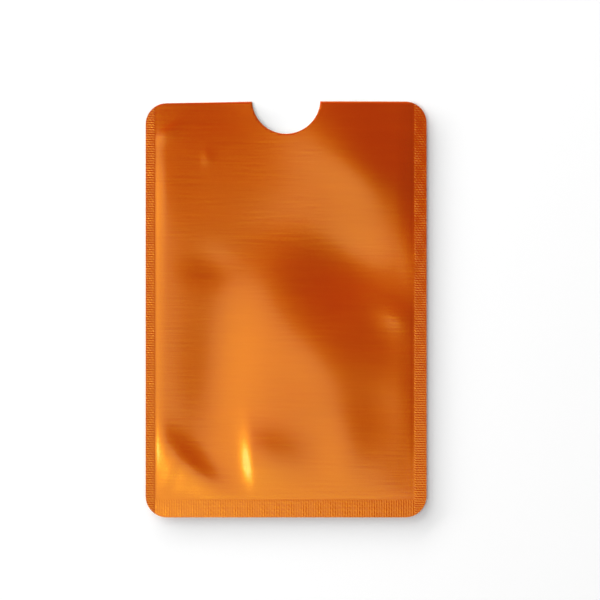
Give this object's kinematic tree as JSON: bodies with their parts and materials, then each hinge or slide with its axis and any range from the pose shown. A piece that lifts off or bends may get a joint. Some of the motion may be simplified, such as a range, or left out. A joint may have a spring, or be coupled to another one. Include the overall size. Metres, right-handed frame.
{
  "type": "rfid card sleeve",
  "caption": "Flat foil-laminate sleeve that shields a contactless card: film panels welded along three margins, open mouth with a half-round thumb notch.",
  "frame": {"origin": "centre of the footprint's bounding box, on the surface the sleeve lies on", "axes": "+Y out of the open mouth along the sleeve's length, +Z out of the front face, +X to the right as seen from the front"},
  "size_m": [0.061, 0.0904, 0.0019],
  "materials": {
    "tinted_film": "gloss",
    "shield_foil": "satin",
    "seal_liner": "satin",
    "weld_plastic": "satin"
  },
  "bodies": {
    "root": {"front_film_middle": "tinted_film", "front_film_left": "tinted_film", "front_film_right": "tinted_film", "front_film_bottom": "tinted_film", "front_foil": "shield_foil", "front_liner": "seal_liner", "back_film_middle": "tinted_film", "back_film_left": "tinted_film", "back_film_right": "tinted_film", "back_film_bottom": "tinted_film", "back_foil": "shield_foil", "back_liner": "seal_liner", "left_weld_strip": "weld_plastic", "right_weld_strip": "weld_plastic", "bottom_weld_strip": "weld_plastic"}
  },
  "joints": []
}
